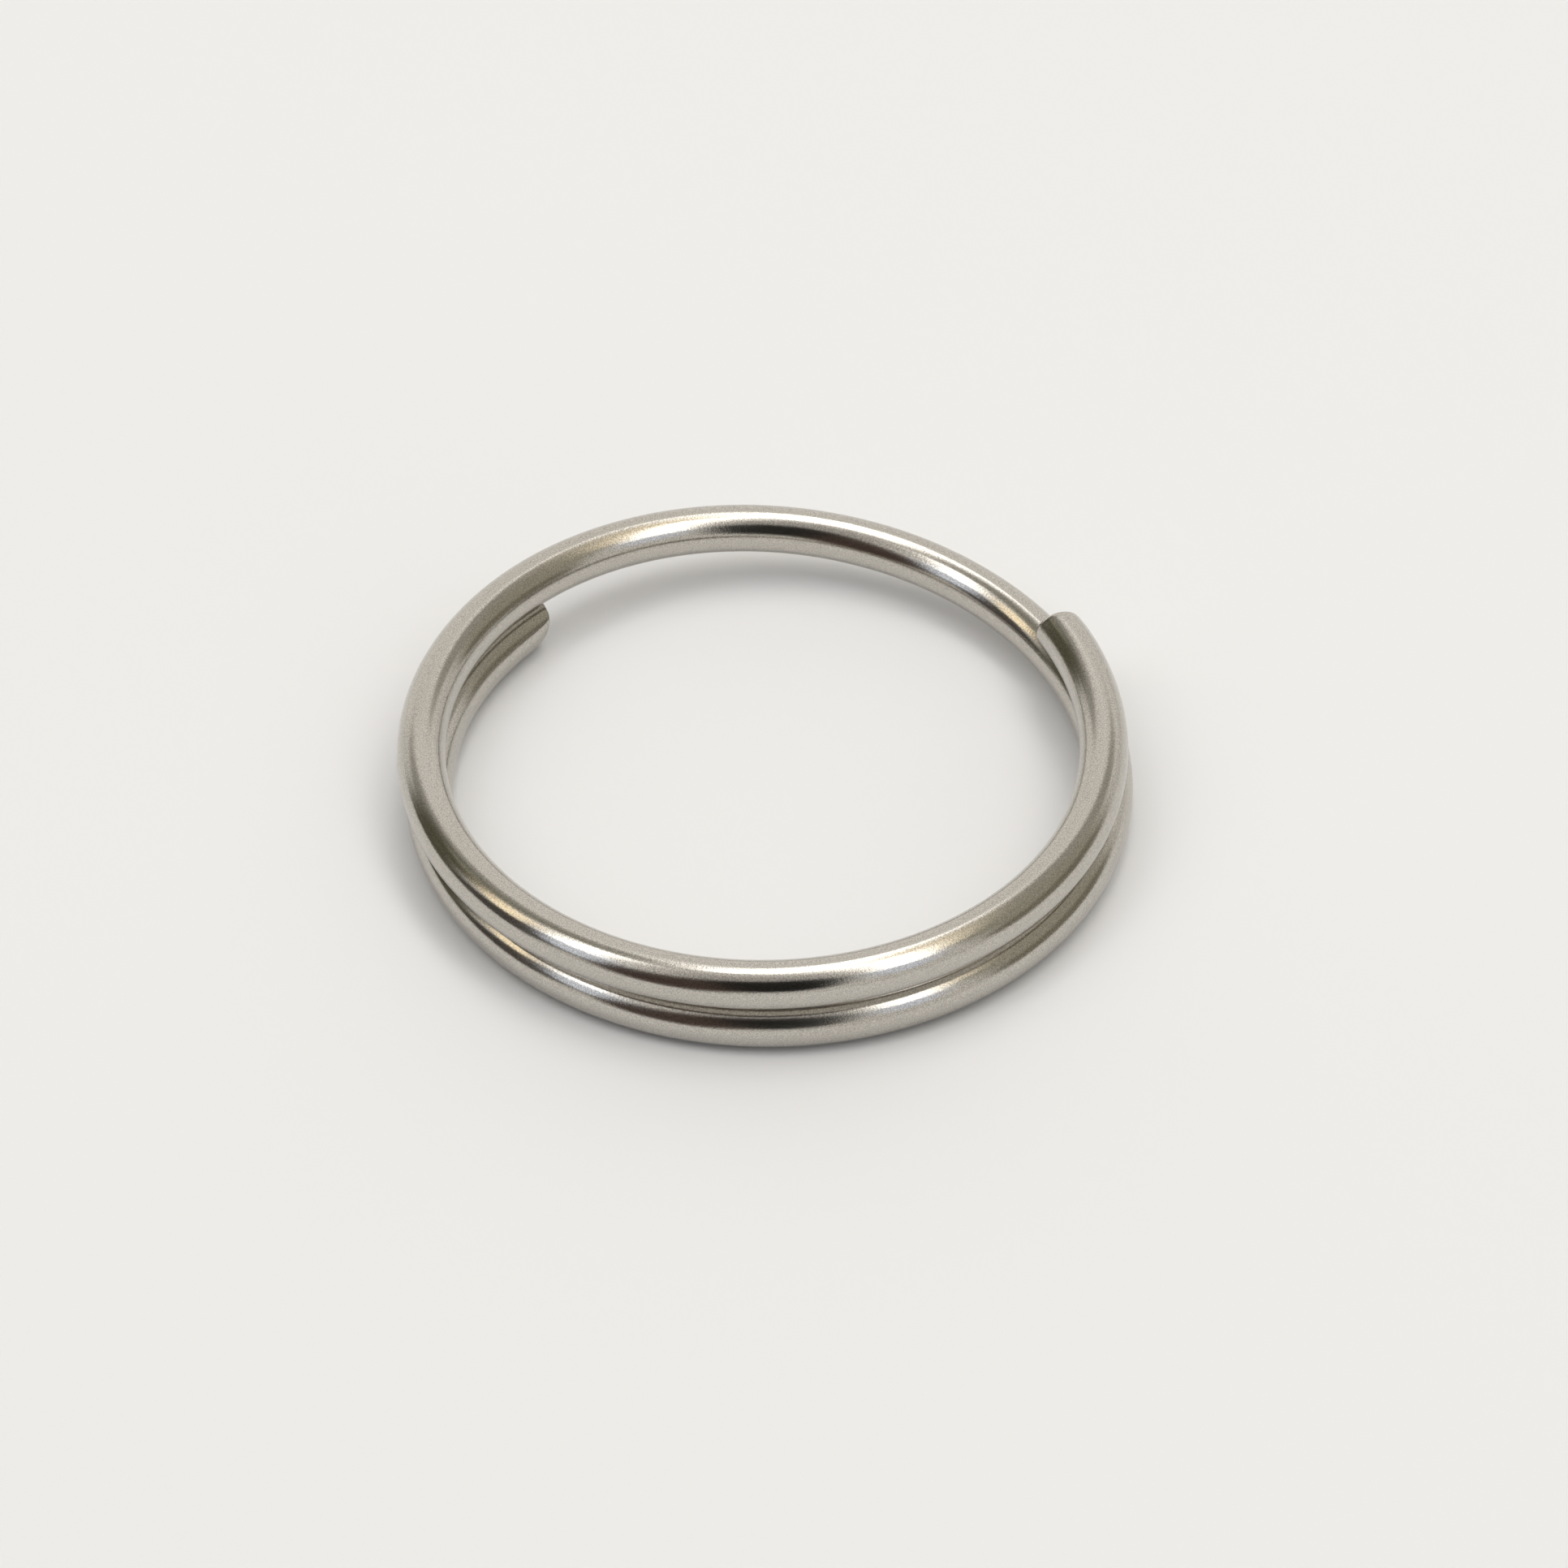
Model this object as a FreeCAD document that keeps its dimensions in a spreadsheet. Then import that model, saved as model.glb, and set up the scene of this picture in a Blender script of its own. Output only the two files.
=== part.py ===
import FreeCAD
import Part
import Sketcher
import math
import os

# A split key ring: one length of round spring wire, coiled flat into about one and three quarter turns.
# The upper turn lies on the lower turn. Across the back a single strand, the crossover, steps down from
# the upper level to the lower one, and the wire's first stretch, the upper tip, rises over its low end.
#
# The ring lies flat: +Z is the ring's axis, z = 0 is the surface that it rests on, and -Y is its front.
# The centreline is a chain of circular arcs with common tangents, so every section of the wire is an
# exact piece of a torus. A place along the wire is a "wire angle": degrees round the ring from the cut
# face of the upper tip, clockwise as seen from above, 0 there and about 616 at the lower tip.
#
# The wire is divided into sections where it flexes. Two neighbours stand a hair's breadth apart, so
# that one can turn on the other about the middle of the wire with no overlap.

UP = FreeCAD.Vector(0, 0, 1)

# ---------------------------------------------------------------- driving dimensions, mm and degrees
DIMENSIONS = [
    ("wire_diameter", 2.0, "round spring wire"),
    ("turn_radius", 14.0, "centreline of both flat turns: 30 mm outside, 26 mm inside"),
    ("entry_radius", 14.2, "centreline of the crossover's upper half, slightly wide of the turn"),
    ("exit_radius", 14.1, "centreline of the crossover's lower half and of the upper tip"),
    ("turn_clearance", 0.05, "air between the stacked turns"),
    ("section_clearance", 0.04, "air between two sections where the wire flexes"),
    ("upper_tip_bearing", 30.0, "where the wire starts, degrees anticlockwise from +X"),
    ("upper_lift_angle", 53.0, "wire angle where the upper tip has come down to its turn"),
    ("crossover_start", 240.0, "wire angle where the wire leaves the upper level"),
    ("crossover_middle", 337.0, "wire angle where the crossover is steepest"),
    ("crossover_end", 413.0, "wire angle where the wire reaches the lower level"),
    ("wire_end", 616.0, "wire angle of the lower tip's cut face"),
    ("upper_pitch", 43.0, "length of each flexing section of the upper turn, degrees"),
    ("lower_pitch", 41.0, "length of each flexing section of the lower turn, degrees"),
    ("upper_tip_round", 0.35, "fillet round the cut face of the upper tip"),
    ("lower_tip_round", 0.12, "fillet round the sheared face of the lower tip"),
]

doc = FreeCAD.newDocument("split_key_ring")
sheet = doc.addObject("Spreadsheet::Sheet", "dimensions")
for row, (alias, value, note) in enumerate(DIMENSIONS, start=1):
    sheet.set(f"A{row}", alias)
    sheet.set(f"B{row}", str(value))
    sheet.set(f"C{row}", note)
    sheet.setAlias(f"B{row}", alias)
doc.recompute()


def dimension(alias):
    return float(sheet.get(alias))


# ---------------------------------------------------------------- the centreline, arc by arc
class Station:
    """A point on the centreline: where it is, which way the wire runs, and which way it curves."""

    def __init__(self, place, along, inward):
        self.place = place
        self.along = along
        self.inward = inward

    def advanced(self, radius, angle):
        """The station reached after an arc of that radius through that angle, in radians."""
        ahead = self.along * math.sin(angle) + self.inward * (1 - math.cos(angle))
        return Station(
            self.place + ahead * radius,
            self.along * math.cos(angle) + self.inward * math.sin(angle),
            self.inward * math.cos(angle) - self.along * math.sin(angle),
        )

    def reversed(self):
        return Station(self.place, -self.along, self.inward)

    def curving(self, inward):
        return Station(self.place, self.along, inward)


def inward_with_rise(station, rise):
    """A unit vector square to the wire, towards the ring's middle, whose Z part is rise."""
    upward = UP - station.along * station.along.z
    upward.normalize()
    sideways = station.along.cross(upward)
    if sideways.dot(station.inward) < 0:
        sideways = -sideways
    share = rise / math.sqrt(1 - station.along.z**2)
    return upward * share + sideways * math.sqrt(1 - share**2)


def level_inward(station):
    """The way towards the ring's middle, laid level again."""
    level = FreeCAD.Vector(station.inward.x, station.inward.y, 0)
    level.normalize()
    return level


wire_radius = dimension("wire_diameter") / 2
turn_radius = dimension("turn_radius")
entry_radius = dimension("entry_radius")
exit_radius = dimension("exit_radius")
turn_step = dimension("wire_diameter") + dimension("turn_clearance")
lift_angle = dimension("upper_lift_angle")
crossover_start = dimension("crossover_start")
crossover_middle = dimension("crossover_middle")
crossover_end = dimension("crossover_end")
wire_end = dimension("wire_end")

# The crossover is two arcs that lie in tilted planes. Their tilts are such that the wire leaves the
# upper level and reaches the lower one without a corner, one turn_step further down.
entry_sweep = math.radians(crossover_middle - crossover_start)
exit_sweep = math.radians(crossover_end - crossover_middle)
sweep_ratio = math.sin(entry_sweep) / math.sin(exit_sweep)
entry_tilt_sine = turn_step / (
    entry_radius * (1 - math.cos(entry_sweep)) + exit_radius * (1 - math.cos(exit_sweep)) * sweep_ratio
)
exit_tilt_sine = entry_tilt_sine * sweep_ratio

start_bearing = math.radians(dimension("upper_tip_bearing") - crossover_start)
outward = FreeCAD.Vector(math.cos(start_bearing), math.sin(start_bearing), 0)
clockwise = FreeCAD.Vector(math.sin(start_bearing), -math.cos(start_bearing), 0)
leaving = Station(outward * turn_radius + UP * (wire_radius + turn_step), clockwise, -outward)

entry = leaving.curving(-outward * math.sqrt(1 - entry_tilt_sine**2) - UP * entry_tilt_sine)
steepest = entry.advanced(entry_radius, entry_sweep)
steepest = steepest.curving(inward_with_rise(steepest, -steepest.along.z / math.tan(exit_sweep)))
arriving = steepest.advanced(exit_radius, exit_sweep)
arriving = arriving.curving(level_inward(arriving))

# Back along the upper turn, then up over the crossover's low end to the first cut face.
alighting = leaving.reversed().advanced(turn_radius, math.radians(crossover_start - lift_angle))
tip_inward = alighting.inward * math.sqrt(1 - exit_tilt_sine**2) + UP * exit_tilt_sine
tip_start = alighting.curving(tip_inward).advanced(exit_radius, math.radians(lift_angle)).reversed()

# Each arc: the wire angle where it starts, its station there, its radius, and the cell that holds it.
ARCS = [
    (0.0, tip_start, exit_radius, "exit_radius"),
    (lift_angle, alighting.reversed(), turn_radius, "turn_radius"),
    (crossover_start, entry, entry_radius, "entry_radius"),
    (crossover_middle, steepest, exit_radius, "exit_radius"),
    (crossover_end, arriving, turn_radius, "turn_radius"),
]

# The ring's axis is midway between the middles of the two flat turns.
upper_middle = leaving.place + leaving.inward * turn_radius
lower_middle = arriving.place + arriving.inward * turn_radius
ring_axis = (upper_middle + lower_middle) * 0.5
ring_axis.z = 0


def arc_at(wire_angle):
    """The arc that holds the stretch of wire which starts at that wire angle."""
    return [arc for arc in ARCS if arc[0] <= wire_angle + 1e-9][-1]


def station_at(wire_angle):
    """The centreline's station at a wire angle, in the ring's own frame."""
    arc_start, station, radius, _ = arc_at(wire_angle)
    reached = station.advanced(radius, math.radians(wire_angle - arc_start))
    return Station(reached.place - ring_axis, reached.along, reached.inward)


# ---------------------------------------------------------------- the sections of the wire
# Where the wire is divided: each place is a wire angle and the expression that gives it.
def named_angle(alias):
    return dimension(alias), f"dimensions.{alias}"


def stepped_angle(base, pitch, count):
    return (
        dimension(base) + count * dimension(pitch),
        f"dimensions.{base} + {count} * dimensions.{pitch}",
    )


FLEXING_CUTS = [stepped_angle("upper_lift_angle", "upper_pitch", count) for count in range(4)]
FLEXING_CUTS += [stepped_angle("wire_end", "lower_pitch", -count) for count in (4, 3, 2, 1)]
FIXED_CUTS = [named_angle(alias) for alias in ("crossover_start", "crossover_middle", "crossover_end")]
SECTION_ENDS = sorted([(0.0, "0"), named_angle("wire_end")] + FLEXING_CUTS + FIXED_CUTS)

# Names follow the wire from its upper tip to its lower one. The four sections between the last upper
# cut and the first lower cut don't flex against each other: together they are the ring's base.
SECTION_NAMES = [
    "upper_tip",
    "upper_front_right",
    "upper_front",
    "upper_front_left",
    "upper_left",
    "crossover_high",
    "crossover_low",
    "lower_front_right",
    "lower_front",
    "lower_front_left",
    "lower_left",
    "lower_tip",
]


def section_placement(wire_angle, radius):
    """Puts the body's X axis on the way out to the wire, and its Z axis so that the bend follows the wire."""
    station = station_at(wire_angle)
    x_axis = -station.inward
    y_axis = station.along
    z_axis = x_axis.cross(y_axis)
    centre = station.place + station.inward * radius
    turned = FreeCAD.Rotation(x_axis, y_axis, z_axis, "ZXY")
    return FreeCAD.Placement(centre, turned)


def origin_feature(body, role):
    return [feature for feature in body.Origin.OriginFeatures if feature.Role == role][0]


def build_section(name, start, end):
    """One section of wire: a round profile in the body's XZ plane, revolved about the body's Z axis."""
    radius, radius_cell = arc_at(start[0])[2:]
    trim = math.degrees(dimension("section_clearance") / 2 / radius)
    start_trim = trim if start in FLEXING_CUTS else 0.0
    trims = [start in FLEXING_CUTS, end in FLEXING_CUTS].count(True)

    body = doc.addObject("PartDesign::Body", name)
    body.Label = name
    profile = body.newObject("Sketcher::SketchObject", f"{name}_profile")
    profile.AttachmentSupport = (origin_feature(body, "XZ_Plane"), [""])
    profile.MapMode = "FlatFace"
    profile.addGeometry(Part.Circle(FreeCAD.Vector(radius, 0, 0), UP, wire_radius), False)
    profile.addConstraint(Sketcher.Constraint("PointOnObject", 0, 3, -1))
    arm = profile.addConstraint(Sketcher.Constraint("DistanceX", -1, 1, 0, 3, radius))
    profile.setExpression(f"Constraints[{arm}]", f"dimensions.{radius_cell}")
    thickness = profile.addConstraint(Sketcher.Constraint("Diameter", 0, 2 * wire_radius))
    profile.setExpression(f"Constraints[{thickness}]", "dimensions.wire_diameter")

    bend = body.newObject("PartDesign::Revolution", f"{name}_bend")
    bend.Profile = profile
    bend.ReferenceAxis = (origin_feature(body, "Z_Axis"), [""])
    trimmed = f"{trims} * dimensions.section_clearance / 2 / dimensions.{radius_cell} * 180 / pi"
    bend.setExpression("Angle", f"({end[1]}) - ({start[1]}) - {trimmed}")
    body.Tip = bend
    body.Placement = section_placement(start[0] + start_trim, radius)
    return body


def round_cut_face(body, radius_cell, wire_angle):
    """Breaks the sharp edge round the cut face that stands at that wire angle."""
    doc.recompute()
    bend = body.Tip
    middle = body.Placement.inverse().multVec(station_at(wire_angle).place)
    rims = [
        f"Edge{number}"
        for number, edge in enumerate(bend.Shape.Edges, start=1)
        if edge.CenterOfMass.distanceToPoint(middle) < wire_radius / 10
    ]
    rounding = body.newObject("PartDesign::Fillet", f"{body.Name}_round")
    rounding.Base = (bend, rims)
    rounding.setExpression("Radius", f"dimensions.{radius_cell}")
    body.Tip = rounding


sections = {
    name: build_section(name, start, end)
    for name, start, end in zip(SECTION_NAMES, SECTION_ENDS, SECTION_ENDS[1:])
}
round_cut_face(sections["upper_tip"], "upper_tip_round", 0.0)
round_cut_face(sections["lower_tip"], "lower_tip_round", wire_end)
doc.recompute()

# ---------------------------------------------------------------- checks
for thing in doc.Objects:
    if "Invalid" in thing.State or "Error" in thing.State:
        raise RuntimeError(f"{thing.Name} failed to build: {thing.State}")

section_area = math.pi * wire_radius**2
for name, start, end in zip(SECTION_NAMES, SECTION_ENDS, SECTION_ENDS[1:]):
    shape = sections[name].Shape
    if shape.isNull() or not shape.isValid() or len(shape.Solids) != 1:
        raise RuntimeError(f"{name} is not one valid solid")
    arc_length = math.radians(end[0] - start[0]) * arc_at(start[0])[2]
    share = shape.Volume / (section_area * arc_length)
    reach = shape.Solids[0].CenterOfMass.distanceToPoint(station_at((start[0] + end[0]) / 2).place)
    if not 0.98 < share < 1.001 or reach > arc_length / 8:
        raise RuntimeError(f"{name} isn't where its arc is: volume share {share:.4f}, reach {reach:.3f}")

for first_name, first in sections.items():
    for other_name, other in sections.items():
        if first_name < other_name and first.Shape.common(other.Shape).Volume > 1e-6:
            raise RuntimeError(f"{first_name} and {other_name} overlap")

whole = Part.makeCompound([section.Shape for section in sections.values()])
box = whole.optimalBoundingBox(False)
wire_length = sum(
    math.radians(end[0] - start[0]) * arc_at(start[0])[2]
    for start, end in zip(SECTION_ENDS, SECTION_ENDS[1:])
)
print(f"ring {box.XLength:.2f} x {box.YLength:.2f} x {box.ZLength:.2f} mm, wire {wire_length:.1f} mm long")
print(f"box x {box.XMin:.3f} {box.XMax:.3f}, y {box.YMin:.3f} {box.YMax:.3f}, z {box.ZMin:.3f} {box.ZMax:.3f}")
for label, wire_angle in [("upper_tip_face", 0.0), ("lower_tip_face", wire_end)]:
    place = station_at(wire_angle).place
    print(f"{label}: {place.x:.4f} {place.y:.4f} {place.z:.4f}")
for wire_angle, _ in FLEXING_CUTS:
    place = station_at(wire_angle).place
    print(f"flexes at {wire_angle:.1f}: {place.x:.4f} {place.y:.4f} {place.z:.4f}")

# ---------------------------------------------------------------- one STEP file for each section
os.makedirs("parts", exist_ok=True)
for name, section in sections.items():
    section.Shape.exportStep(f"parts/{section.Label}.step")
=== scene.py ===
import math

import bpy
from mathutils import Matrix, Vector, noise


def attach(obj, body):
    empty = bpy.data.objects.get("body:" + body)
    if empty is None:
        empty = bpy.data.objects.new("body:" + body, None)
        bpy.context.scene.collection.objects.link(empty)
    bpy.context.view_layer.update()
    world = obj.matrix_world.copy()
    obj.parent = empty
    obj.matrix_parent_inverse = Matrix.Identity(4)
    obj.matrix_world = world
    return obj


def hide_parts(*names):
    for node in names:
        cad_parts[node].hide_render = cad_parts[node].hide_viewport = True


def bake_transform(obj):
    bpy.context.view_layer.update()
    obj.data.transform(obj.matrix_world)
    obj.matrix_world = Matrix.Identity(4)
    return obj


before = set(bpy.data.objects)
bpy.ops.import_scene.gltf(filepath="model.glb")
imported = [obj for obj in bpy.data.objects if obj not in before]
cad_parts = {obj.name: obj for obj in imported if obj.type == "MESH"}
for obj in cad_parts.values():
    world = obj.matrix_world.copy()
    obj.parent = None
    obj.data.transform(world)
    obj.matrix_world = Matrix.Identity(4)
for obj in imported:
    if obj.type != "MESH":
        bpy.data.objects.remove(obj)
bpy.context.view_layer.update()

# A split key ring: one length of plated spring wire, coiled flat into about one and three quarter
# turns. Metres throughout. +Z is the ring's axis, and the ring lies on the floor at z = 0. A place
# along the wire is a "wire angle": degrees round the ring from the cut face of the upper tip,
# clockwise as seen from above. The wire is one smooth skin, made as pieces that meet end to end:
# a piece over each place where the wire flexes, and plain pieces that ride on one body between them.

# ---------------------------------------------------------------- the wire's driving dimensions
# Lengths are in metres, and places along the wire in degrees of wire angle.
WIRE_RADIUS = 0.001
TURN_RADIUS = 0.014
ENTRY_RADIUS = 0.0142
EXIT_RADIUS = 0.0141
TURN_STEP = 0.00205
UPPER_TIP_BEARING = 30.0
LIFT_ANGLE = 53.0
CROSSOVER_START = 240.0
CROSSOVER_MIDDLE = 337.0
CROSSOVER_END = 413.0
WIRE_END = 616.0
UPPER_PITCH = 43.0
LOWER_PITCH = 41.0

# A cut end. "at" is its wire angle, and "turn" is 1 where the wire runs on from it and -1 where the wire
# runs up to it. "round" is its rim's radius, and "crown" how far the middle of its face stands proud.
# "blade" is the side that the blade came from, as (outwards, upwards). The face is "set_back" along the
# wire, by "lean" more on the blade's side and as much less opposite. "roll" is how far that side is
# pressed in.
UPPER_CUT = {
    "at": 0.0,
    "turn": 1,
    "round": 0.00035,
    "crown": 0.00004,
    "blade": (0.8, 0.6),
    "set_back": 0.0002,
    "lean": 0.0002,
    "roll": 0.00012,
}
LOWER_CUT = {
    "at": WIRE_END,
    "turn": -1,
    "round": 0.00012,
    "crown": 0.00002,
    "blade": (-0.79, -0.61),
    "set_back": 0.0,
    "lean": 0.00026,
    "roll": 0.00028,
}

# The blade's press dies away over a reach along the wire, and so do the lip that it raises on the far
# side and the fine tearing of the face. The torn look stops at a share of the rim's radius from its side.
SHEAR_REACH = 0.0006
PRESSED_LENGTH = SHEAR_REACH * 5
LIP_HEIGHT = 0.00003
LIP_REACH = 0.00015
TEAR_HEIGHT = 0.000014
TEAR_REACH = 0.0001
TEARS_PER_METRE = 3500
TORN_STOP = 0.6

# The stacked turns rub along their line of contact. The sine of the angle round the wire says how near
# a place is to that line, and the rub fades out over some degrees where the crossover leaves it.
RUB_EDGE = 0.93
RUB_FULL = 0.985
RUB_FADE = 8

# ---------------------------------------------------------------- how finely the skin is divided
# SIDES points go round each ring. Rings are RING_STEP degrees apart, or closer by TIP_FINENESS in a piece
# with a tip, and start RIM_GAP degrees from its rim. FACE_SHARES are the radii of the rings on a cut face,
# as shares of its own, and CORNER_STEPS rings turn the corner of its rim.
SIDES = 64
RING_STEP = 1.0
TIP_FINENESS = 2
RIM_GAP = 0.25
FACE_SHARES = (0.16, 0.34, 0.52, 0.68, 0.82, 0.93, 1.0)
CORNER_STEPS = 8

UP = Vector((0, 0, 1))


# ---------------------------------------------------------------- the centreline, arc by arc
class Station:
    """A point on the centreline: where it is, which way the wire runs, and which way it curves."""

    def __init__(self, place, along, inward):
        self.place = place
        self.along = along
        self.inward = inward

    def advanced(self, radius, angle):
        """The station reached after an arc of that radius through that angle, in radians."""
        ahead = self.along * math.sin(angle) + self.inward * (1 - math.cos(angle))
        return Station(
            self.place + ahead * radius,
            self.along * math.cos(angle) + self.inward * math.sin(angle),
            self.inward * math.cos(angle) - self.along * math.sin(angle),
        )

    def reversed(self):
        """The same place, with the wire running the other way."""
        return Station(self.place, -self.along, self.inward)

    def curving(self, inward):
        """The same place, with the wire curving towards another direction."""
        return Station(self.place, self.along, inward)


def inward_with_rise(station, rise):
    """A unit vector square to the wire, towards the ring's middle, whose Z part is rise."""
    upward = (UP - station.along * station.along.z).normalized()
    sideways = station.along.cross(upward)
    if sideways.dot(station.inward) < 0:
        sideways = -sideways
    share = rise / math.sqrt(1 - station.along.z**2)
    return upward * share + sideways * math.sqrt(1 - share**2)


def wire_arcs():
    """Each arc of the centreline: the wire angle where it starts, its station there and its radius."""
    entry_sweep = math.radians(CROSSOVER_MIDDLE - CROSSOVER_START)
    exit_sweep = math.radians(CROSSOVER_END - CROSSOVER_MIDDLE)
    sweep_ratio = math.sin(entry_sweep) / math.sin(exit_sweep)
    entry_drop = ENTRY_RADIUS * (1 - math.cos(entry_sweep))
    exit_drop = EXIT_RADIUS * (1 - math.cos(exit_sweep)) * sweep_ratio
    entry_tilt = TURN_STEP / (entry_drop + exit_drop)
    exit_tilt = entry_tilt * sweep_ratio

    bearing = math.radians(UPPER_TIP_BEARING - CROSSOVER_START)
    outward = Vector((math.cos(bearing), math.sin(bearing), 0))
    clockwise = Vector((math.sin(bearing), -math.cos(bearing), 0))
    leaving = Station(outward * TURN_RADIUS + UP * (WIRE_RADIUS + TURN_STEP), clockwise, -outward)
    entry = leaving.curving(-outward * math.sqrt(1 - entry_tilt**2) - UP * entry_tilt)
    steepest = entry.advanced(ENTRY_RADIUS, entry_sweep)
    steepest = steepest.curving(inward_with_rise(steepest, -steepest.along.z / math.tan(exit_sweep)))
    arriving = steepest.advanced(EXIT_RADIUS, exit_sweep)
    arriving = arriving.curving(Vector((arriving.inward.x, arriving.inward.y, 0)).normalized())

    alighting = leaving.reversed().advanced(TURN_RADIUS, math.radians(CROSSOVER_START - LIFT_ANGLE))
    tip_inward = alighting.inward * math.sqrt(1 - exit_tilt**2) + UP * exit_tilt
    tip_start = alighting.curving(tip_inward).advanced(EXIT_RADIUS, math.radians(LIFT_ANGLE)).reversed()

    upper_middle = leaving.place + leaving.inward * TURN_RADIUS
    lower_middle = arriving.place + arriving.inward * TURN_RADIUS
    ring_axis = (upper_middle + lower_middle) / 2
    ring_axis.z = 0
    arcs = [
        (0.0, tip_start, EXIT_RADIUS),
        (LIFT_ANGLE, alighting.reversed(), TURN_RADIUS),
        (CROSSOVER_START, entry, ENTRY_RADIUS),
        (CROSSOVER_MIDDLE, steepest, EXIT_RADIUS),
        (CROSSOVER_END, arriving, TURN_RADIUS),
    ]
    for _, station, _ in arcs:
        station.place = station.place - ring_axis
    return arcs


ARCS = wire_arcs()


def station_at(wire_angle):
    """The station on the centreline at a wire angle."""
    start, station, radius = [arc for arc in ARCS if arc[0] <= wire_angle + 1e-9][-1]
    return station.advanced(radius, math.radians(wire_angle - start))


def length_to(wire_angle):
    """The length of wire from the upper tip's cut face to a wire angle."""
    ends = [arc[0] for arc in ARCS[1:]] + [WIRE_END]
    return sum(
        math.radians(max(0.0, min(wire_angle, end) - start)) * radius
        for (start, _, radius), end in zip(ARCS, ends)
    )


# ---------------------------------------------------------------- the wire's skin
def ring_frame(wire_angle):
    """The wire's own axes at a place: outwards from the ring's middle, and upwards."""
    station = station_at(wire_angle)
    outward = UP.cross(station.along).normalized()
    if outward.dot(station.inward) > 0:
        outward = -outward
    upward = station.along.cross(outward)
    if upward.z < 0:
        upward = -upward
    return station, outward, upward


def tip_rings(round_radius, crown):
    """Rings from the middle of a cut face to its rim and round the corner: (depth, radius) of each."""
    flat = WIRE_RADIUS - round_radius
    face = [(crown * (share**2), flat * share) for share in FACE_SHARES]
    corner = []
    for step in range(1, CORNER_STEPS + 1):
        turned = math.radians(90 * step / CORNER_STEPS)
        depth = crown + round_radius * (1 - math.cos(turned))
        corner.append((depth, flat + round_radius * math.sin(turned)))
    return face + corner


def shear(depth, out, up, cut):
    """How a blade leaves a cut end: cut away and rolled over on the blade's side, with a lip opposite."""
    blade_out, blade_up = cut["blade"]
    side = (out * blade_out + up * blade_up) / WIRE_RADIUS
    near = math.exp(-depth / SHEAR_REACH)
    rolled = cut["roll"] * smoothstep(0.0, 1.0, side) * near
    lean = (cut["set_back"] + cut["lean"] * side) * near
    lip = LIP_HEIGHT * smoothstep(0.5, 1.0, -side) * math.exp(-depth / LIP_REACH)
    tear = noise.noise(Vector((out, up, 0)) * TEARS_PER_METRE)
    ragged = TEAR_HEIGHT * tear * math.exp(-depth / TEAR_REACH)
    return depth + lean - lip + ragged, out - rolled * blade_out, up - rolled * blade_up


def spaced_rings(start, end, fineness):
    """Plain rings from start to end, RING_STEP apart or closer by fineness: (kind, wire angle, radius)."""
    count = round((end - start) / RING_STEP) * fineness
    return [("plain", start + (end - start) * number / count, WIRE_RADIUS) for number in range(count + 1)]


def tip_piece_rings(start, end, cut):
    """The rings of a piece with a cut end: shaped round its rim, pressed near the cut, plain beyond."""
    radius = station_radius(cut["at"])
    shaped = [
        ("shaped", cut["at"] + cut["turn"] * math.degrees(depth / radius), wide)
        for depth, wide in tip_rings(cut["round"], cut["crown"])
    ]
    rim = math.degrees((cut["round"] + cut["crown"]) / radius)
    pressed = math.degrees(PRESSED_LENGTH / radius)
    rings = []
    for _, wire_angle, wide in spaced_rings(start, end, TIP_FINENESS):
        away = abs(wire_angle - cut["at"])
        if away > rim + RIM_GAP:
            rings.append(("pressed" if away < pressed else "plain", wire_angle, wide))
    return shaped + rings if cut["turn"] > 0 else rings + shaped[::-1]


def skin_points(rings, cut):
    """The rings' points, and for each its place in the drawn wire, how rubbed and how sheared it is."""
    points, drawn, rub, sheared = [], [], [], []
    for kind, wire_angle, wide in rings:
        station, outward, upward = ring_frame(wire_angle)
        travelled = length_to(wire_angle)
        for side in range(SIDES):
            around = 2 * math.pi * side / SIDES
            out = wide * math.cos(around)
            up = wide * math.sin(around)
            shift = 0.0
            if cut:
                depth = abs(travelled - length_to(cut["at"]))
                moved, out, up = shear(depth, out, up, cut)
                shift = (moved - depth) * cut["turn"]
            points.append(station.place + outward * out + upward * up + station.along * shift)
            drawn.append((out, up, travelled))
            rub.append(rubbed(wire_angle, around))
            on_face = kind == "shaped" and wide < WIRE_RADIUS - cut["round"] * TORN_STOP
            sheared.append(1.0 if on_face else 0.0)
    return points, drawn, rub, sheared


def tube_faces(ring_count):
    """The faces between each ring and the next."""
    faces = []
    for ring in range(ring_count - 1):
        here = ring * SIDES
        there = here + SIDES
        for side in range(SIDES):
            beside = (side + 1) % SIDES
            faces.append((here + side, here + beside, there + beside, there + side))
    return faces


def end_faces(first, middle, turn):
    """A fan that closes the ring whose points start at first, round the point numbered middle."""
    faces = []
    for side in range(SIDES):
        beside = (side + 1) % SIDES
        corners = (middle, first + beside, first + side)
        faces.append(corners if turn > 0 else corners[::-1])
    return faces


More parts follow.
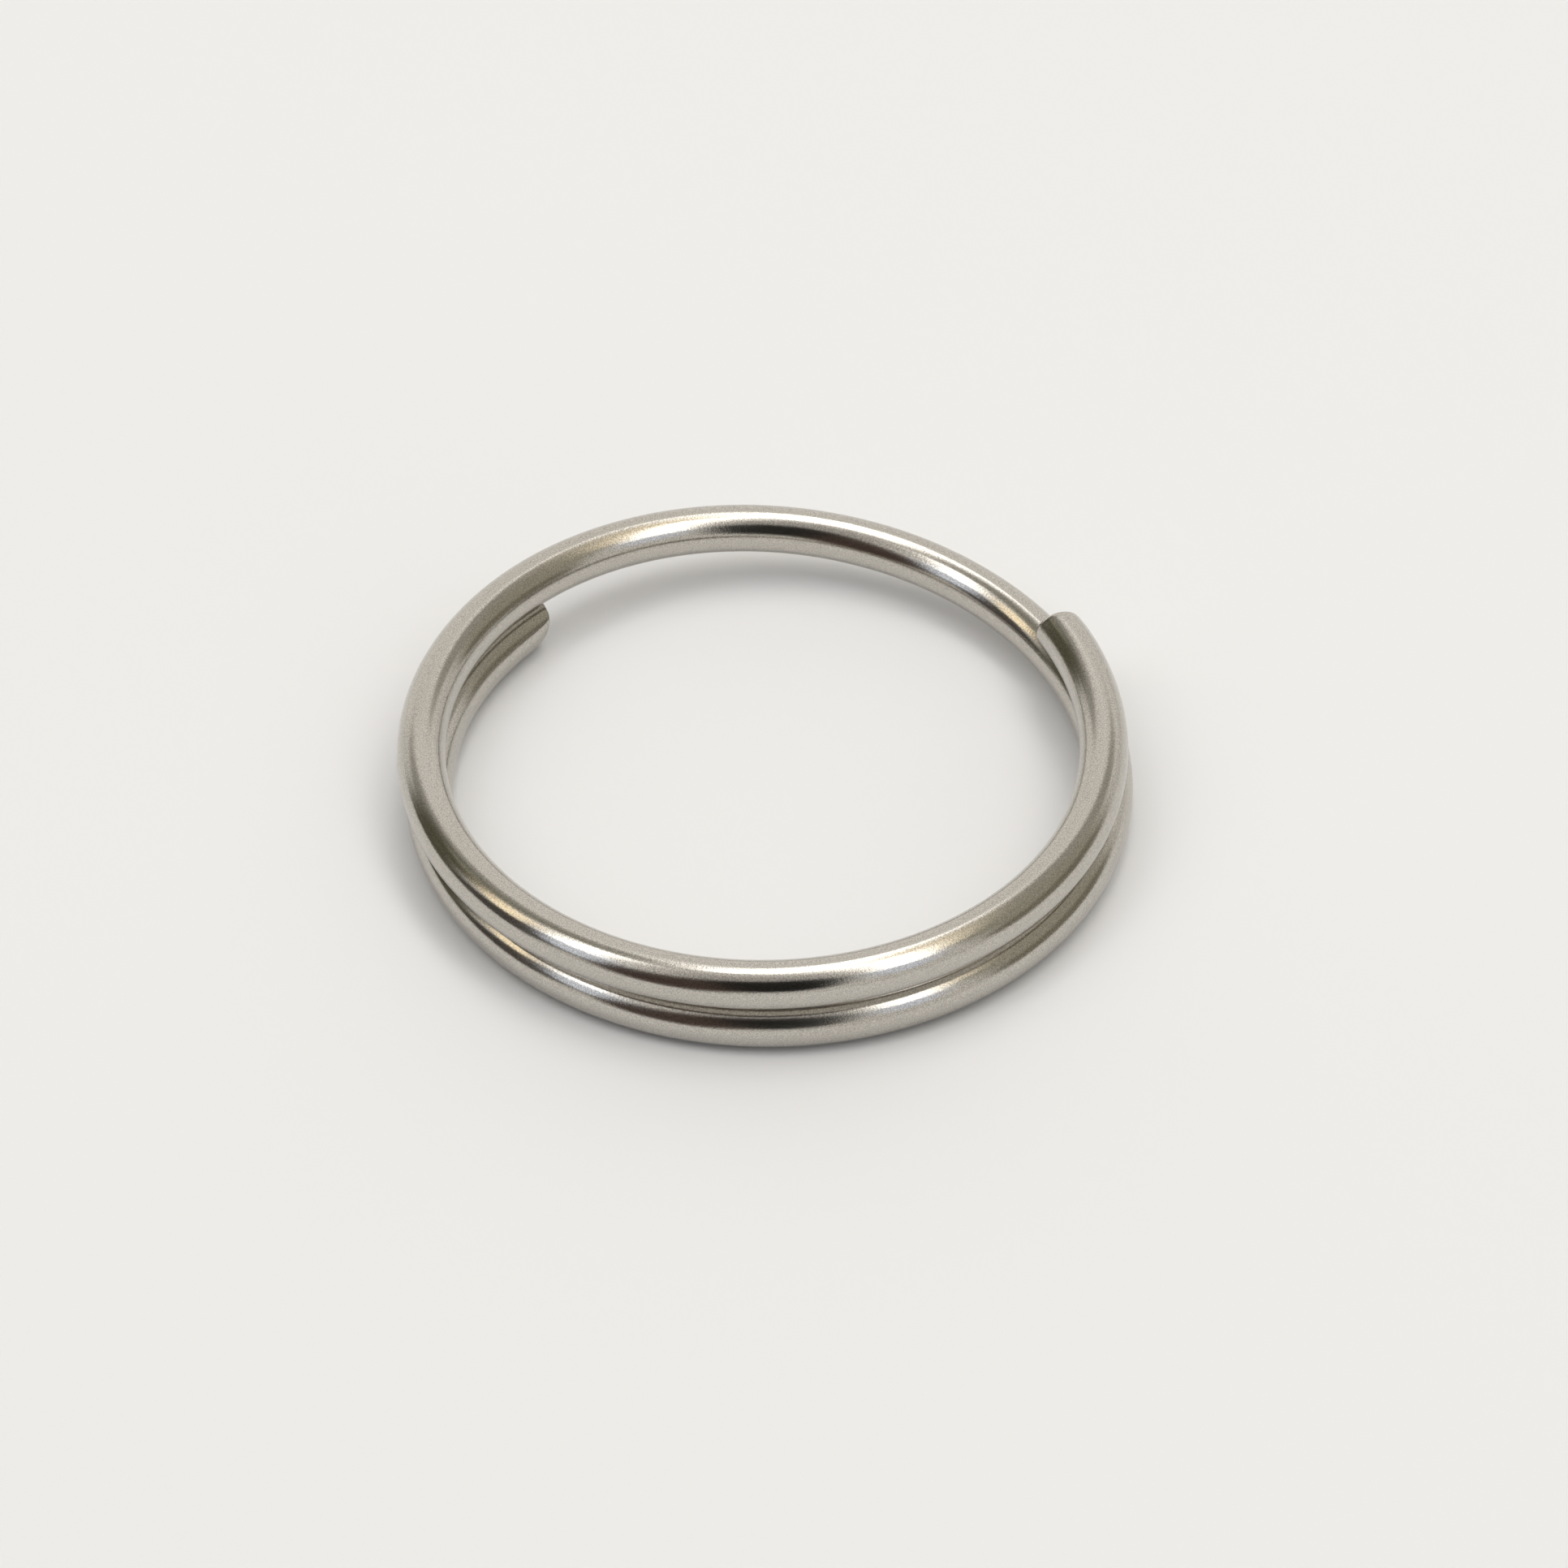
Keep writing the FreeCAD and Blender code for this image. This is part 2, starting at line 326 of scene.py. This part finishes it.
def wire_piece(name, start, end, cut=None):
    """A closed length of wire between two wire angles. cut describes the tip, where one end is a tip."""
    rings = tip_piece_rings(start, end, cut) if cut else spaced_rings(start, end, 1)
    points, drawn, rub, sheared = skin_points(rings, cut)
    faces = tube_faces(len(rings))
    last = len(points) - SIDES
    for first, wire_angle, turn in ((0, rings[0][1], 1), (last, rings[-1][1], -1)):
        faces += end_faces(first, len(points), turn)
        points.append(sum(points[first : first + SIDES], Vector()) / SIDES)
        drawn.append((0.0, 0.0, length_to(wire_angle)))
        rub.append(0.0)
        sheared.append(1.0)

    mesh = bpy.data.meshes.new(name)
    mesh.from_pydata(points, [], faces)
    mesh.update()
    piece = bpy.data.objects.new(name, mesh)
    bpy.context.scene.collection.objects.link(piece)
    add_layer(mesh, "drawn_wire", "FLOAT_VECTOR", drawn)
    add_layer(mesh, "rubbed", "FLOAT", rub)
    add_layer(mesh, "sheared", "FLOAT", sheared)
    point_normals_outwards(mesh, rings)
    mesh.materials.append(materials["nickel_plated_wire"])
    return piece


def station_radius(wire_angle):
    """The radius of the arc that the centreline follows at a wire angle."""
    return [arc[2] for arc in ARCS if arc[0] <= wire_angle + 1e-9][-1]


def add_layer(mesh, name, kind, values):
    """Stores one value or vector for each point of the mesh, for the material to read."""
    layer = mesh.attributes.new(name, kind, "POINT")
    if kind == "FLOAT_VECTOR":
        layer.data.foreach_set("vector", [number for value in values for number in value])
    else:
        layer.data.foreach_set("value", values)


def point_normals_outwards(mesh, rings):
    """Points each plain ring's normals straight out from the wire, so that two pieces meet with no seam."""
    mesh.shade_smooth()
    normals = [vertex.normal.copy() for vertex in mesh.vertices]
    for number, (kind, wire_angle, _) in enumerate(rings):
        if kind == "plain":
            _, outward, upward = ring_frame(wire_angle)
            for side in range(SIDES):
                around = 2 * math.pi * side / SIDES
                radial = outward * math.cos(around) + upward * math.sin(around)
                normals[number * SIDES + side] = radial
    mesh.normals_split_custom_set_from_vertices(normals)


def smoothstep(low, high, value):
    """0 up to low, 1 from high on, and a smooth S between."""
    share = max(0.0, min(1.0, (value - low) / (high - low)))
    return share * share * (3 - 2 * share)


def rubbed(wire_angle, around):
    """How much the stacked turns have rubbed each other: the upper turn's underside, the lower one's top."""
    upper = smoothstep(CROSSOVER_START + RUB_FADE, CROSSOVER_START - RUB_FADE, wire_angle)
    lower = smoothstep(CROSSOVER_END - RUB_FADE, CROSSOVER_END + RUB_FADE, wire_angle)
    facing = math.sin(around) * (lower - upper)
    return smoothstep(RUB_EDGE, RUB_FULL, facing)


# ---------------------------------------------------------------- materials
PLATE = (0.665, 0.635, 0.58, 1)
PLATE_CLOUDED = (0.645, 0.611, 0.551, 1)
PLATE_DULL = (0.58, 0.54, 0.484, 1)
PLATE_RUBBED = (0.745, 0.72, 0.67, 1)
SPECK = (0.61, 0.61, 0.62, 1)
NO_SPECK = (1.0, 1.0, 1.0, 1)
FLOOR_COLOUR = (0.84, 0.85, 0.87, 1)


class Shader:
    """A material's or world's node tree, emptied, with a short way to add a node and wire it up."""

    def __init__(self, owner):
        owner.use_nodes = True
        self.tree = owner.node_tree
        self.tree.nodes.clear()

    def add(self, kind, inputs=(), **settings):
        """A new node with its settings made, and each input linked from a socket or set to a value."""
        node = self.tree.nodes.new(kind)
        for name, value in settings.items():
            setattr(node, name, value)
        for socket, value in dict(inputs).items():
            if isinstance(value, bpy.types.NodeSocket):
                self.tree.links.new(value, node.inputs[socket])
            else:
                node.inputs[socket].default_value = value
        return node

    def noise(self, place, scale, detail, rough):
        inputs = {"Vector": place, "Scale": scale, "Detail": detail, "Roughness": rough}
        return self.add("ShaderNodeTexNoise", inputs).outputs["Fac"]

    def between(self, value, low, high, to_low=0.0, to_high=1.0):
        """value, mapped smoothly from the range low to high onto the range to_low to to_high."""
        inputs = {"Value": value, "From Min": low, "From Max": high, "To Min": to_low, "To Max": to_high}
        return self.add("ShaderNodeMapRange", inputs, interpolation_type="SMOOTHSTEP").outputs["Result"]

    def math(self, operation, first, second):
        return self.add("ShaderNodeMath", {0: first, 1: second}, operation=operation).outputs[0]

    def mix(self, share, first, second):
        node = self.add("ShaderNodeMix", {0: share, 6: first, 7: second}, data_type="RGBA")
        return node.outputs[2]

    def tinted(self, colour, tint):
        """colour, multiplied by tint."""
        inputs = {0: 1.0, 6: colour, 7: tint}
        node = self.add("ShaderNodeMix", inputs, data_type="RGBA", blend_type="MULTIPLY")
        return node.outputs[2]

    def stretched(self, place, along):
        """place with its third axis, along the wire, stretched out by a factor."""
        inputs = {"Vector": place, "Scale": (1.0, 1.0, 1.0 / along)}
        return self.add("ShaderNodeMapping", inputs).outputs["Vector"]

    def bump(self, height, distance, strength, under=None):
        inputs = {"Height": height, "Distance": distance, "Strength": strength}
        if under is not None:
            inputs["Normal"] = under
        return self.add("ShaderNodeBump", inputs).outputs["Normal"]


def plate_colour(shader, place, clouds, patches, rub):
    """Warm grey that drifts a little, paler where rubbed, and finely speckled."""
    speckle = shader.between(shader.noise(place, scale=19000, detail=2.0, rough=0.6), 0.28, 0.72)
    warm = shader.mix(shader.between(clouds, 0.35, 0.65), PLATE, PLATE_CLOUDED)
    toned = shader.mix(shader.between(patches, 0.5, 0.8, to_high=0.35), warm, PLATE_DULL)
    polished = shader.mix(shader.math("MULTIPLY", rub, 0.6), toned, PLATE_RUBBED)
    return shader.tinted(polished, shader.mix(speckle, SPECK, NO_SPECK))


def plate_roughness(shader, lines, patches, rub, cut):
    """Satin, a little uneven, smoother where rubbed and rougher on a cut face."""
    rough = shader.between(patches, 0.3, 0.7, to_low=0.14, to_high=0.18)
    rough = shader.math("ADD", rough, shader.between(lines, 0.3, 0.7, to_low=-0.02, to_high=0.02))
    rough = shader.math("SUBTRACT", rough, shader.math("MULTIPLY", rub, 0.06))
    return shader.math("ADD", rough, shader.math("MULTIPLY", cut, 0.12))


def plate_relief(shader, place, lines, clouds, cut):
    """Slow unevenness, draw lines and fine grain, and the torn metal of a cut face."""
    grain = shader.noise(place, scale=11000, detail=3.0, rough=0.6)
    torn = shader.noise(place, scale=5000, detail=4.0, rough=0.7)
    relief = shader.bump(clouds, distance=0.00001, strength=0.5)
    relief = shader.bump(lines, distance=0.0000015, strength=0.5, under=relief)
    relief = shader.bump(grain, distance=0.000004, strength=0.7, under=relief)
    return shader.bump(shader.math("MULTIPLY", torn, cut), distance=0.00002, strength=0.6, under=relief)


def nickel_plated_wire():
    """Satin nickel plate over drawn spring wire. Scales are in features to the metre."""
    material = bpy.data.materials.new("nickel_plated_wire")
    shader = Shader(material)
    place = shader.add("ShaderNodeAttribute", attribute_name="drawn_wire").outputs["Vector"]
    rub = shader.add("ShaderNodeAttribute", attribute_name="rubbed").outputs["Fac"]
    cut = shader.add("ShaderNodeAttribute", attribute_name="sheared").outputs["Fac"]
    lines = shader.noise(shader.stretched(place, along=45), scale=7000, detail=3.0, rough=0.55)
    patches = shader.noise(shader.stretched(place, along=4), scale=700, detail=3.0, rough=0.6)
    clouds = shader.noise(shader.stretched(place, along=3), scale=160, detail=2.0, rough=0.5)
    inputs = {
        "Base Color": plate_colour(shader, place, clouds, patches, rub),
        "Metallic": 1.0,
        "Roughness": plate_roughness(shader, lines, patches, rub, cut),
        "Normal": plate_relief(shader, place, lines, clouds, cut),
    }
    surface = shader.add("ShaderNodeBsdfPrincipled", inputs)
    shader.add("ShaderNodeOutputMaterial", {"Surface": surface.outputs["BSDF"]})
    return material


def pale_floor():
    """A matt, near-white floor."""
    material = bpy.data.materials.new("pale_floor")
    shader = Shader(material)
    surface = shader.add("ShaderNodeBsdfPrincipled", {"Base Color": FLOOR_COLOUR, "Roughness": 0.9})
    shader.add("ShaderNodeOutputMaterial", {"Surface": surface.outputs["BSDF"]})
    return material


materials = {"nickel_plated_wire": nickel_plated_wire(), "pale_floor": pale_floor()}

# ---------------------------------------------------------------- the pieces, from the upper tip on
# Bodies in order along the wire. Every CAD node has its body's name, but for the middle's four.
UPPER_BODIES = ["upper_tip", "upper_front_right", "upper_front", "upper_front_left", "middle"]
LOWER_BODIES = ["middle", "lower_front", "lower_front_left", "lower_left", "lower_tip"]
MIDDLE_NODES = ["upper_left", "crossover_high", "crossover_low", "lower_front_right"]


def flexing_piece(first, second, hinge, pitch):
    """The wire over one flexing place, from half a pitch before its hinge to half a pitch after, in place of
    the two bodies' CAD parts.
    """
    start = hinge - pitch / 2
    end = hinge + pitch / 2
    piece = wire_piece(f"{first}_to_{second}", start, end)
    begin = station_at(start).place
    finish = station_at(end).place
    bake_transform(piece)
    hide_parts(*[body for body in (first, second) if body != "middle"])


upper_hinges = [LIFT_ANGLE + UPPER_PITCH * count for count in range(4)]
lower_hinges = [WIRE_END - LOWER_PITCH * count for count in (4, 3, 2, 1)]
for first, second, hinge in zip(UPPER_BODIES, UPPER_BODIES[1:], upper_hinges):
    flexing_piece(first, second, hinge, UPPER_PITCH)
for first, second, hinge in zip(LOWER_BODIES, LOWER_BODIES[1:], lower_hinges):
    flexing_piece(first, second, hinge, LOWER_PITCH)

upper_end = wire_piece("upper_tip_end", 0.0, upper_hinges[0] - UPPER_PITCH / 2, UPPER_CUT)
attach(upper_end, "upper_tip")
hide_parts("upper_tip")

middle_start = upper_hinges[-1] + UPPER_PITCH / 2
middle_end = lower_hinges[0] - LOWER_PITCH / 2
middle = wire_piece("crossover_and_seat", middle_start, middle_end)
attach(middle, "middle")
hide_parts(*MIDDLE_NODES)

lower_end = wire_piece("lower_tip_end", lower_hinges[-1] + LOWER_PITCH / 2, WIRE_END, LOWER_CUT)
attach(lower_end, "lower_tip")
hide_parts("lower_tip")

# ---------------------------------------------------------------- floor, light and camera
FLOOR_WIDTH = 6.0
WALL_COLOUR = (0.74, 0.72, 0.68, 1)
BACKDROP_COLOUR = (0.86, 0.855, 0.845, 1)
STROKE_STEPS = 4
CAMERA_ELEVATION = math.radians(43.21)
CAMERA_DISTANCE = 0.26316
CAMERA_AIM_RIGHT = 0.000753
CAMERA_AIM_UP = 0.000584
FOCAL_LENGTH_MM = 145.96
SENSOR_WIDTH_MM = 36.0

bpy.ops.mesh.primitive_plane_add(size=FLOOR_WIDTH, location=(0, 0, 0))
floor = bpy.context.object
floor.name = "floor"
floor.data.materials.append(materials["pale_floor"])


def towards(azimuth, elevation):
    """A direction: azimuth in degrees from +Y towards +X, elevation in degrees above the floor."""
    turned = math.radians(azimuth)
    raised = math.radians(elevation)
    level = math.cos(raised)
    return Vector((math.sin(turned) * level, math.cos(turned) * level, math.sin(raised)))


def soft_light(name, near, far, width, radiance, colour):
    """A flat softbox facing the ring. near and far, the ends of its long axis, are points in metres."""
    place = (near + far) / 2
    lamp = bpy.data.lights.new(name, "AREA")
    lamp.shape = "RECTANGLE"
    lamp.size = (far - near).length
    lamp.size_y = width
    lamp.energy = radiance * math.pi * lamp.size * lamp.size_y
    lamp.color = colour
    x_axis = (far - near).normalized()
    z_axis = (place - x_axis * place.dot(x_axis)).normalized()
    y_axis = z_axis.cross(x_axis)
    holder = bpy.data.objects.new(name, lamp)
    turned = Matrix((x_axis, y_axis, z_axis)).transposed().to_4x4()
    holder.matrix_world = Matrix.Translation(place) @ turned
    bpy.context.scene.collection.objects.link(holder)
    return holder


# Three softboxes for the metal to mirror.
WHITE_LIGHT = (1.0, 0.985, 0.965)
BRIGHT = 2.2
soft_light("overhead_softbox", towards(15, 85) * 0.55, towards(6, 53) * 1.5, 0.18, BRIGHT, WHITE_LIGHT)
soft_light("left_strip", towards(-86, 71) * 0.9, towards(-117, 43) * 0.75, 0.16, BRIGHT, WHITE_LIGHT)
soft_light("right_strip", towards(60, 78) * 0.9, towards(134, 43) * 0.72, 0.17, BRIGHT, WHITE_LIGHT)

# A broad overhead fill for the floor alone: metal doesn't mirror it.
floor_fill = soft_light("floor_fill", Vector((-0.5, 0, 1)), Vector((0.5, 0, 1)), 1.0, 0.8, WHITE_LIGHT)
floor_fill.visible_glossy = False

# The studio round the ring: pale walls, with the darker and brighter things that the wire mirrors. Each
# is a stroke from one (azimuth, elevation) to another, full within one angle of it and faded out at a
# second, all in degrees, and last its colour. A later stroke covers an earlier one.
SURROUNDINGS = [
    ((-12, 4), (16, 42), 22, 44, (0.9, 0.875, 0.83)),
    ((78, 56), (88, 22), 18, 30, (0.4, 0.38, 0.31)),
    ((44, 40), (44, 60), 7, 16, (0.42, 0.4, 0.35)),
    ((-46, 34), (-42, 66), 6, 15, (0.42, 0.4, 0.36)),
    ((76, 12), (105, 12), 5, 14, (0.24, 0.22, 0.17)),
    ((30, 70), (112, 58), 4, 11, (1.15, 1.02, 0.78)),
    ((180, 66), (180, 66), 6, 22, (0.48, 0.46, 0.44)),
    ((-152, 22), (-172, 36), 15, 28, (0.08, 0.055, 0.045)),
    ((174, 26), (174, 46), 9, 20, (0.02, 0.02, 0.018)),
    ((-96, 6), (-114, 24), 10, 18, (0.09, 0.078, 0.07)),
    ((-72, 4), (-65, 42), 8, 19, (0.11, 0.105, 0.07)),
    ((-64, 46), (-56, 63), 4, 9, (0.3, 0.29, 0.23)),
    ((-94, 35), (-85, 50), 3, 8, (1.75, 1.5, 1.08)),
    ((-119, 44), (-123, 26), 5, 11, (0.95, 1.02, 1.15)),
    ((135, 42), (138, 28), 5, 11, (0.85, 0.9, 1.02)),
]


def studio_world():
    """Lights and mirrors the surroundings, but shows the camera a plain backdrop."""
    world = bpy.data.worlds.new("studio")
    bpy.context.scene.world = world
    shader = Shader(world)
    direction = shader.add("ShaderNodeTexCoord").outputs["Generated"]
    colour = WALL_COLOUR
    for start, end, full, faded, seen in SURROUNDINGS:
        nearest = -1.0
        for step in range(STROKE_STEPS):
            middle = towards(*start).lerp(towards(*end), step / (STROKE_STEPS - 1)).normalized()
            inputs = {0: direction, 1: middle}
            facing = shader.add("ShaderNodeVectorMath", inputs, operation="DOT_PRODUCT").outputs["Value"]
            nearest = shader.math("MAXIMUM", nearest, facing)
        share = shader.between(nearest, math.cos(math.radians(faded)), math.cos(math.radians(full)))
        colour = shader.mix(share, colour, (*seen, 1))
    mirrored = shader.add("ShaderNodeBackground", {"Color": colour, "Strength": 1.0})
    plain = shader.add("ShaderNodeBackground", {"Color": BACKDROP_COLOUR, "Strength": 1.0})
    seen_directly = shader.add("ShaderNodeLightPath").outputs["Is Camera Ray"]
    shown = shader.add(
        "ShaderNodeMixShader",
        {0: seen_directly, 1: mirrored.outputs["Background"], 2: plain.outputs["Background"]},
    )
    shader.add("ShaderNodeOutputWorld", {"Surface": shown.outputs["Shader"]})


studio_world()


def add_camera():
    """A long lens, looking down on the ring from the front."""
    back = Vector((0, -math.cos(CAMERA_ELEVATION), math.sin(CAMERA_ELEVATION)))
    upright = Vector((0, math.sin(CAMERA_ELEVATION), math.cos(CAMERA_ELEVATION)))
    aim = Vector((CAMERA_AIM_RIGHT, 0, 0)) + upright * CAMERA_AIM_UP
    lens = bpy.data.cameras.new("camera")
    lens.lens = FOCAL_LENGTH_MM
    lens.sensor_width = SENSOR_WIDTH_MM
    lens.clip_start = 0.01
    lens.clip_end = 50.0
    camera = bpy.data.objects.new("camera", lens)
    camera.location = aim + back * CAMERA_DISTANCE
    camera.rotation_euler = (math.pi / 2 - CAMERA_ELEVATION, 0, 0)
    bpy.context.scene.collection.objects.link(camera)
    bpy.context.scene.camera = camera


add_camera()
bpy.context.scene.view_settings.view_transform = "Standard"
